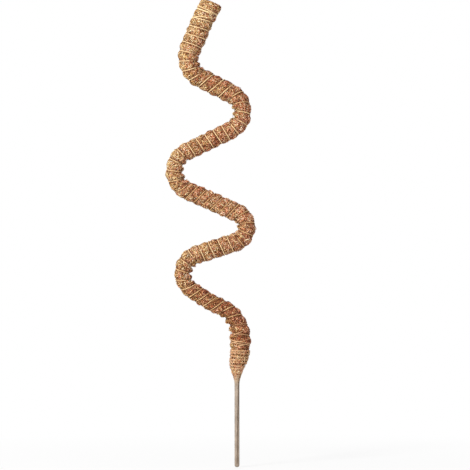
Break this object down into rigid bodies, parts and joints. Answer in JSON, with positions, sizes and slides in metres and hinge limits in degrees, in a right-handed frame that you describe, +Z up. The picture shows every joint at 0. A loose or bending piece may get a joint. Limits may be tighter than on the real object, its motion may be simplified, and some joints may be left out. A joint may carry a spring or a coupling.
{
  "type": "moss pole",
  "caption": "Bendable climbing-plant pole: coir rolled on a wire core, bound with twine, bent into a flat wave, with a bare wrapped stake for the soil.",
  "frame": {"origin": "on the axis of the stake at the soil line", "axes": "+Z up along the stake, the wave in the XZ plane, seen from -Y"},
  "size_m": [0.1121, 0.0303, 0.5868],
  "materials": {
    "coir": "rough fibre",
    "twine": "plied natural fibre",
    "wrap": "wound yarn",
    "wire": "satin"
  },
  "bodies": {
    "stake": {"stake_wire": "wire", "stake_wrap": "wrap", "coir_0": "coir", "neck_whipping": "twine", "twine_0": "twine"},
    "bend_1": {"bend_wire_1": "wire", "bend_coir_1": "coir", "bend_twine_1": "twine"},
    "strand_1": {"wire_1": "wire", "coir_1": "coir", "twine_1": "twine"},
    "bend_2": {"bend_wire_2": "wire", "bend_coir_2": "coir", "bend_twine_2": "twine"},
    "strand_2": {"wire_2": "wire", "coir_2": "coir", "twine_2": "twine"},
    "bend_3": {"bend_wire_3": "wire", "bend_coir_3": "coir", "bend_twine_3": "twine"},
    "strand_3": {"wire_3": "wire", "coir_3": "coir", "twine_3": "twine"},
    "bend_4": {"bend_wire_4": "wire", "bend_coir_4": "coir", "bend_twine_4": "twine"},
    "strand_4": {"wire_4": "wire", "coir_4": "coir", "twine_4": "twine"},
    "bend_5": {"bend_wire_5": "wire", "bend_coir_5": "coir", "bend_twine_5": "twine"},
    "strand_5": {"wire_5": "wire", "coir_5": "coir", "twine_5": "twine"},
    "bend_6": {"bend_wire_6": "wire", "bend_coir_6": "coir", "bend_twine_6": "twine"},
    "top": {"wire_6": "wire", "coir_6": "coir", "twine_6": "twine"}
  },
  "joints": [
    {"name": "bend_1_lower", "type": "hinge", "parent": "stake", "child": "bend_1", "pos_m": [-0.00093, 0, 0.07619], "axis": [0, 1, 0], "range_deg": [0, 28.5], "deforming": ["bend_coir_1", "bend_twine_1"]},
    {"name": "bend_1_upper", "type": "hinge", "parent": "bend_1", "child": "strand_1", "pos_m": [-0.01161, 0, 0.09586], "axis": [0, 1, 0], "range_deg": [0, 28.5], "deforming": ["bend_coir_1", "bend_twine_1"]},
    {"name": "bend_2_lower", "type": "hinge", "parent": "strand_1", "child": "bend_2", "pos_m": [-0.06605, 0, 0.13554], "axis": [0, -1, 0], "range_deg": [0, 64.5], "deforming": ["bend_coir_2", "bend_twine_2"]},
    {"name": "bend_2_upper", "type": "hinge", "parent": "bend_2", "child": "strand_2", "pos_m": [-0.06237, 0, 0.16344], "axis": [0, -1, 0], "range_deg": [0, 64.5], "deforming": ["bend_coir_2", "bend_twine_2"]},
    {"name": "bend_3_lower", "type": "hinge", "parent": "strand_2", "child": "bend_3", "pos_m": [0.00842, 0, 0.19189], "axis": [0, 1, 0], "range_deg": [0, 69], "deforming": ["bend_coir_3", "bend_twine_3"]},
    {"name": "bend_3_upper", "type": "hinge", "parent": "bend_3", "child": "strand_3", "pos_m": [0.00968, 0, 0.21594], "axis": [0, 1, 0], "range_deg": [0, 69], "deforming": ["bend_coir_3", "bend_twine_3"]},
    {"name": "bend_4_lower", "type": "hinge", "parent": "strand_3", "child": "bend_4", "pos_m": [-0.07431, 0, 0.25929], "axis": [0, -1, 0], "range_deg": [0, 65], "deforming": ["bend_coir_4", "bend_twine_4"]},
    {"name": "bend_4_upper", "type": "hinge", "parent": "bend_4", "child": "strand_4", "pos_m": [-0.07485, 0, 0.28991], "axis": [0, -1, 0], "range_deg": [0, 65], "deforming": ["bend_coir_4", "bend_twine_4"]},
    {"name": "bend_5_lower", "type": "hinge", "parent": "strand_4", "child": "bend_5", "pos_m": [0.00331, 0, 0.33435], "axis": [0, 1, 0], "range_deg": [0, 63.5], "deforming": ["bend_coir_5", "bend_twine_5"]},
    {"name": "bend_5_upper", "type": "hinge", "parent": "bend_5", "child": "strand_5", "pos_m": [0.00356, 0, 0.36316], "axis": [0, 1, 0], "range_deg": [0, 63.5], "deforming": ["bend_coir_5", "bend_twine_5"]},
    {"name": "bend_6_lower", "type": "hinge", "parent": "strand_5", "child": "bend_6", "pos_m": [-0.05365, 0, 0.3969], "axis": [0, -1, 0], "range_deg": [0, 43], "deforming": ["bend_coir_6", "bend_twine_6"]},
    {"name": "bend_6_upper", "type": "hinge", "parent": "bend_6", "child": "top", "pos_m": [-0.06109, 0, 0.41735], "axis": [0, -1, 0], "range_deg": [0, 43], "deforming": ["bend_coir_6", "bend_twine_6"]}
  ]
}
